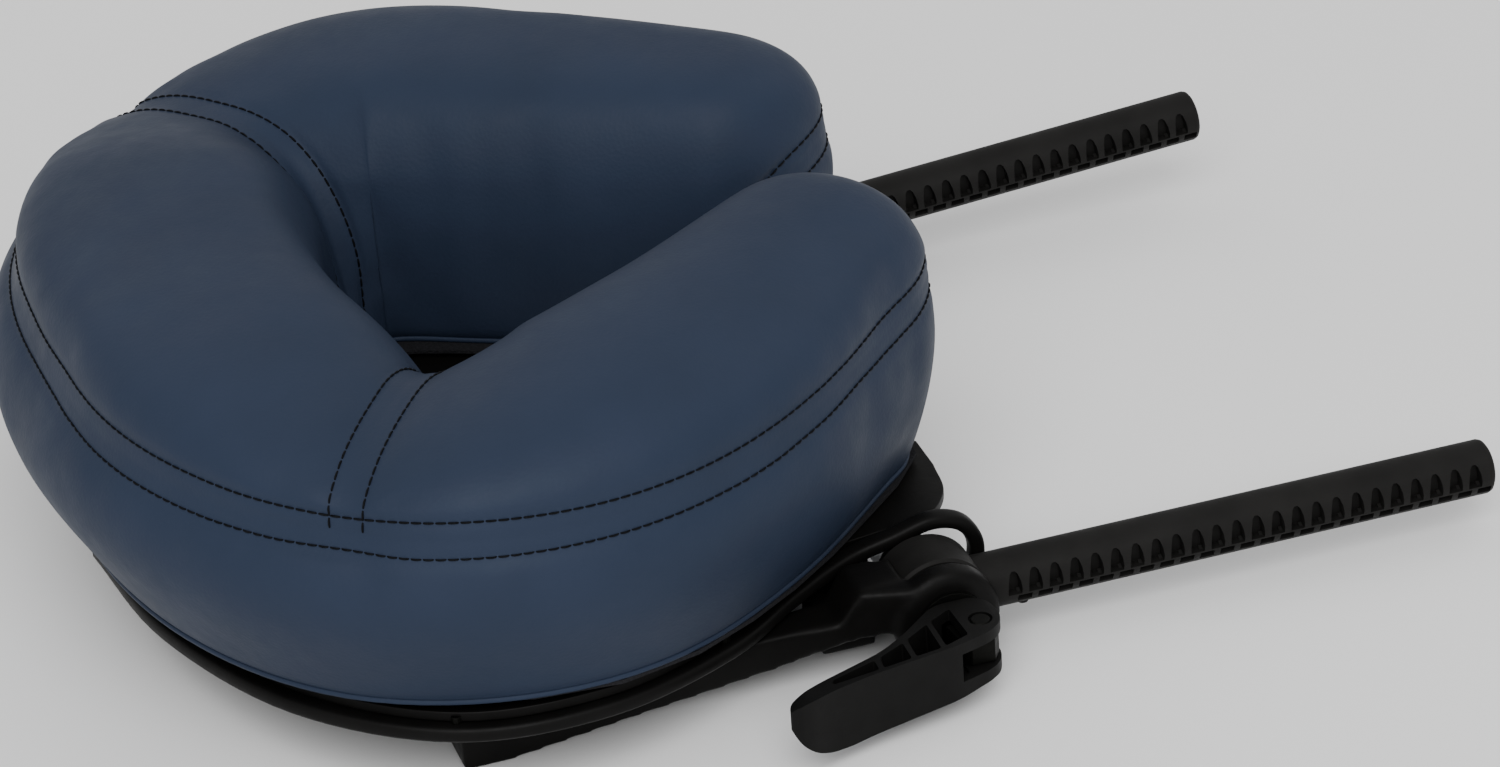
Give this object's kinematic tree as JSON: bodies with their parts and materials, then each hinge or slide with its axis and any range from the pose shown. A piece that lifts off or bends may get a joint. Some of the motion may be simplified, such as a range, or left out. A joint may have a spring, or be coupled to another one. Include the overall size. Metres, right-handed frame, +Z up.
{
  "type": "massage table face cradle",
  "caption": "Horseshoe face cushion on a sprung platform with two tilting posts and a cam clamp lever, to plug into the end of a massage table.",
  "frame": {"origin": "middle of the front crossbar's resting face, on the plane that the cradle stands on", "axes": "+X towards the table, along the near post; +Z up; -Y is the side with the cam lever; Y = 0 is the plane of symmetry of everything but the lever, nut and far post"},
  "size_m": [0.3938, 0.3103, 0.1165],
  "materials": {
    "black_nylon": "fine satin grain, glass-filled nylon",
    "lever_nylon": "satin moulded nylon",
    "zinc_steel": "zinc plated",
    "alloy_tube": "extruded",
    "friction_fibre": "dull fibre",
    "navy_vinyl": "soft matte vinyl with a fine grain",
    "loop_fabric": "brushed loop",
    "hook_tape": "hook pile",
    "memory_foam": "open-cell foam",
    "rubber": "dull"
  },
  "bodies": {
    "cradle": {"base_frame": "black_nylon", "flex_hoop": "black_nylon", "platform_plate": "black_nylon", "hook_strip_1": "hook_tape", "hook_strip_2": "hook_tape", "hook_strip_3": "hook_tape", "hook_strip_4": "hook_tape", "hook_strip_5": "hook_tape", "hook_strip_6": "hook_tape", "hook_strip_7": "hook_tape", "hoop_screw_1": "zinc_steel", "hoop_screw_2": "zinc_steel", "hoop_screw_3": "zinc_steel", "hoop_screw_4": "zinc_steel", "hoop_screw_5": "zinc_steel", "hoop_screw_6": "zinc_steel", "near_foot_screw": "zinc_steel", "far_foot_screw": "zinc_steel", "near_support_block": "rubber", "far_support_block": "rubber", "block_screw_1": "zinc_steel", "block_screw_2": "zinc_steel", "block_screw_3": "zinc_steel", "block_screw_4": "zinc_steel", "spacer_tube": "alloy_tube", "near_inner_friction_washer": "friction_fibre", "near_outer_friction_washer": "friction_fibre", "far_inner_friction_washer": "friction_fibre", "far_outer_friction_washer": "friction_fibre", "thrust_washer": "zinc_steel"},
    "near_post": {"near_post": "black_nylon"},
    "far_post": {"far_post": "black_nylon"},
    "clamp_rod": {"draw_rod": "zinc_steel", "lock_nut": "zinc_steel", "nut_washer": "zinc_steel"},
    "cam_lever": {"cam_lever": "lever_nylon", "lever_pin": "zinc_steel"},
    "cushion": {"foam_core": "memory_foam", "cover_front_panel": "navy_vinyl", "cover_near_arm_panel": "navy_vinyl", "cover_far_arm_panel": "navy_vinyl", "cover_side_band": "navy_vinyl", "cover_base_panel": "loop_fabric"}
  },
  "joints": [
    {"name": "near_post_tilt", "type": "hinge", "parent": "cradle", "child": "near_post", "pos_m": [0.1315, -0.108, 0.0165], "axis": [0, 1, 0], "range_deg": [-45, 90]},
    {"name": "far_post_tilt", "type": "hinge", "parent": "cradle", "child": "far_post", "pos_m": [0.1315, 0.108, 0.0165], "axis": [0, 1, 0], "range_deg": [-40.75, 94.25]},
    {"name": "clamp_rod_slide", "type": "slide", "parent": "cradle", "child": "clamp_rod", "axis": [0, 1, 0], "range_m": [0, 0.00315]},
    {"name": "cam_lever_swing", "type": "hinge", "parent": "clamp_rod", "child": "cam_lever", "pos_m": [0.1355, -0.138, 0.0165], "axis": [0, 0, 1], "range_deg": [0, 120]},
    {"name": "cushion_lift", "type": "slide", "parent": "cradle", "child": "cushion", "axis": [0, 0, 1], "range_m": [0, 0.08]}
  ],
  "couplings": [
    {"joint": "clamp_rod_slide", "follows": "cam_lever_swing", "m_per_rad": 0.0015}
  ]
}
